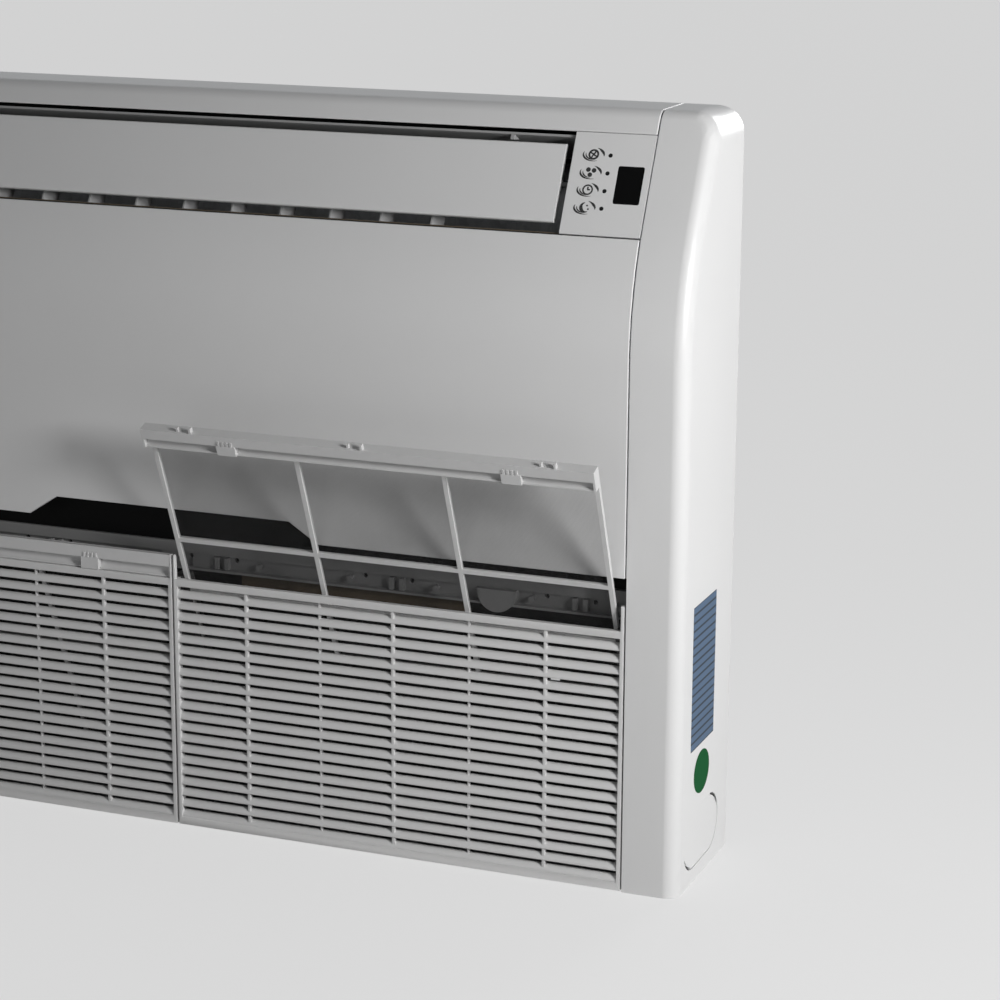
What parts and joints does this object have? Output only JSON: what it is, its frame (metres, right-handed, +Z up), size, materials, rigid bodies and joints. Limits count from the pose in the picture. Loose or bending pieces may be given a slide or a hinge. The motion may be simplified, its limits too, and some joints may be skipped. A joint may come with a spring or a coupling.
{
  "type": "floor ceiling fan coil unit",
  "caption": "Slim floor or ceiling fan coil unit: white casing with sloped air outlet and swinging vane, slatted intake grilles, pull-out filters, coil and tangential fan.",
  "frame": {"origin": "middle of the flat underside, at mid depth and mid width", "axes": "+X to the right seen from the front, -Y out of the front grille, +Z up"},
  "size_m": [0.9737, 0.2052, 0.675],
  "materials": {
    "white_abs": "moulded, glossy",
    "filter_plastic": "moulded, satin",
    "filter_net": "fine woven net",
    "galvanised_steel": "zinc coated sheet",
    "grey_plastic": "moulded, matt",
    "dark_plastic": "moulded, matt",
    "black_window": "polished",
    "lamp_lens": "clear dark lens",
    "circuit_board": "solder resist",
    "brown_foam": "closed cell foam",
    "fin_aluminium": "thin bare fins",
    "copper": "drawn copper",
    "motor_paint": "black enamel",
    "cream_plastic": "moulded",
    "screw_steel": "zinc plated",
    "label_film": "printed film, left bare",
    "green_film": "printed film, left bare"
  },
  "bodies": {
    "casing": {"base_plate": "galvanised_steel", "blank_plate_left": "white_abs", "coil_fins": "fin_aluminium", "coil_header": "copper", "coil_plate_left": "galvanised_steel", "coil_plate_right": "galvanised_steel", "coil_tubes": "copper", "control_board": "circuit_board", "control_plate": "white_abs", "cover_screws": "screw_steel", "cross_rail": "grey_plastic", "display_window": "black_window", "drain_pan": "grey_plastic", "electrical_box": "galvanised_steel", "end_cover_left": "white_abs", "end_cover_right": "white_abs", "fan_bearing": "grey_plastic", "fan_casing": "galvanised_steel", "fan_motor": "motor_paint", "front_panel": "white_abs", "guide_wall_left": "grey_plastic", "guide_wall_middle": "grey_plastic", "guide_wall_right": "grey_plastic", "indicator_lamps": "lamp_lens", "intake_foam": "brown_foam", "intake_grille_left": "white_abs", "intake_grille_right": "white_abs", "knockout_blanks": "white_abs", "label_plate": "label_film", "motor_bracket": "galvanised_steel", "outlet_duct": "grey_plastic", "outlet_foam": "brown_foam", "rear_plate": "galvanised_steel", "round_sticker": "green_film", "side_plate_left": "galvanised_steel", "side_plate_right": "galvanised_steel", "terminal_block": "cream_plastic", "top_cover": "white_abs", "vane_motor": "grey_plastic"},
    "vane": {"outlet_vane": "white_abs"},
    "blade_link": {"blade_link": "dark_plastic"},
    "fan": {"fan_wheel": "dark_plastic"},
    "filter_left": {"filter_frame_left": "filter_plastic", "filter_net_left": "filter_net"},
    "filter_right": {"filter_frame_right": "filter_plastic", "filter_net_right": "filter_net"},
    "guide_blade_01": {"guide_blade_01": "dark_plastic"},
    "guide_blade_02": {"guide_blade_02": "dark_plastic"},
    "guide_blade_03": {"guide_blade_03": "dark_plastic"},
    "guide_blade_04": {"guide_blade_04": "dark_plastic"},
    "guide_blade_05": {"guide_blade_05": "dark_plastic"},
    "guide_blade_06": {"guide_blade_06": "dark_plastic"},
    "guide_blade_07": {"guide_blade_07": "dark_plastic"},
    "guide_blade_08": {"guide_blade_08": "dark_plastic"},
    "guide_blade_09": {"guide_blade_09": "dark_plastic"},
    "guide_blade_10": {"guide_blade_10": "dark_plastic"},
    "guide_blade_11": {"guide_blade_11": "dark_plastic"}
  },
  "joints": [
    {"name": "vane_swing", "type": "hinge", "parent": "casing", "child": "vane", "pos_m": [0, -0.02241, 0.61102], "axis": [-1, 0, 0], "range_deg": [0, 40]},
    {"name": "blade_turn_01", "type": "hinge", "parent": "casing", "child": "guide_blade_01", "pos_m": [-0.24, -0.02426, 0.56632], "axis": [0, 0.4617, 0.887], "range_deg": [-25, 25]},
    {"name": "blade_turn_02", "type": "hinge", "parent": "casing", "child": "guide_blade_02", "pos_m": [-0.192, -0.02426, 0.56632], "axis": [0, 0.4617, 0.887], "range_deg": [-25, 25]},
    {"name": "blade_turn_03", "type": "hinge", "parent": "casing", "child": "guide_blade_03", "pos_m": [-0.144, -0.02426, 0.56632], "axis": [0, 0.4617, 0.887], "range_deg": [-25, 25]},
    {"name": "blade_turn_04", "type": "hinge", "parent": "casing", "child": "guide_blade_04", "pos_m": [-0.096, -0.02426, 0.56632], "axis": [0, 0.4617, 0.887], "range_deg": [-25, 25]},
    {"name": "blade_turn_05", "type": "hinge", "parent": "casing", "child": "guide_blade_05", "pos_m": [-0.048, -0.02426, 0.56632], "axis": [0, 0.4617, 0.887], "range_deg": [-25, 25]},
    {"name": "blade_turn_06", "type": "hinge", "parent": "casing", "child": "guide_blade_06", "pos_m": [0, -0.02426, 0.56632], "axis": [0, 0.4617, 0.887], "range_deg": [-25, 25]},
    {"name": "blade_turn_07", "type": "hinge", "parent": "casing", "child": "guide_blade_07", "pos_m": [0.048, -0.02426, 0.56632], "axis": [0, 0.4617, 0.887], "range_deg": [-25, 25]},
    {"name": "blade_turn_08", "type": "hinge", "parent": "casing", "child": "guide_blade_08", "pos_m": [0.096, -0.02426, 0.56632], "axis": [0, 0.4617, 0.887], "range_deg": [-25, 25]},
    {"name": "blade_turn_09", "type": "hinge", "parent": "casing", "child": "guide_blade_09", "pos_m": [0.144, -0.02426, 0.56632], "axis": [0, 0.4617, 0.887], "range_deg": [-25, 25]},
    {"name": "blade_turn_10", "type": "hinge", "parent": "casing", "child": "guide_blade_10", "pos_m": [0.192, -0.02426, 0.56632], "axis": [0, 0.4617, 0.887], "range_deg": [-25, 25]},
    {"name": "blade_turn_11", "type": "hinge", "parent": "casing", "child": "guide_blade_11", "pos_m": [0.24, -0.02426, 0.56632], "axis": [0, 0.4617, 0.887], "range_deg": [-25, 25]},
    {"name": "link_slide", "type": "slide", "parent": "casing", "child": "blade_link", "axis": [1, 0, 0], "range_m": [-0.0047, 0.0047]},
    {"name": "fan_spin", "type": "hinge", "parent": "casing", "child": "fan", "pos_m": [0, 0.0195, 0.515], "axis": [1, 0, 0], "continuous": true},
    {"name": "filter_left_slide", "type": "slide", "parent": "casing", "child": "filter_left", "axis": [0, -0.3746, 0.9272], "range_m": [0, 0.205]},
    {"name": "filter_right_slide", "type": "slide", "parent": "casing", "child": "filter_right", "axis": [0, -0.3746, 0.9272], "range_m": [-0.142, 0.063]}
  ],
  "couplings": [
    {"joint": "blade_turn_01", "follows": "link_slide", "rad_per_m": -92.593},
    {"joint": "blade_turn_02", "follows": "link_slide", "rad_per_m": -92.593},
    {"joint": "blade_turn_03", "follows": "link_slide", "rad_per_m": -92.593},
    {"joint": "blade_turn_04", "follows": "link_slide", "rad_per_m": -92.593},
    {"joint": "blade_turn_05", "follows": "link_slide", "rad_per_m": -92.593},
    {"joint": "blade_turn_06", "follows": "link_slide", "rad_per_m": -92.593},
    {"joint": "blade_turn_07", "follows": "link_slide", "rad_per_m": -92.593},
    {"joint": "blade_turn_08", "follows": "link_slide", "rad_per_m": -92.593},
    {"joint": "blade_turn_09", "follows": "link_slide", "rad_per_m": -92.593},
    {"joint": "blade_turn_10", "follows": "link_slide", "rad_per_m": -92.593},
    {"joint": "blade_turn_11", "follows": "link_slide", "rad_per_m": -92.593}
  ]
}
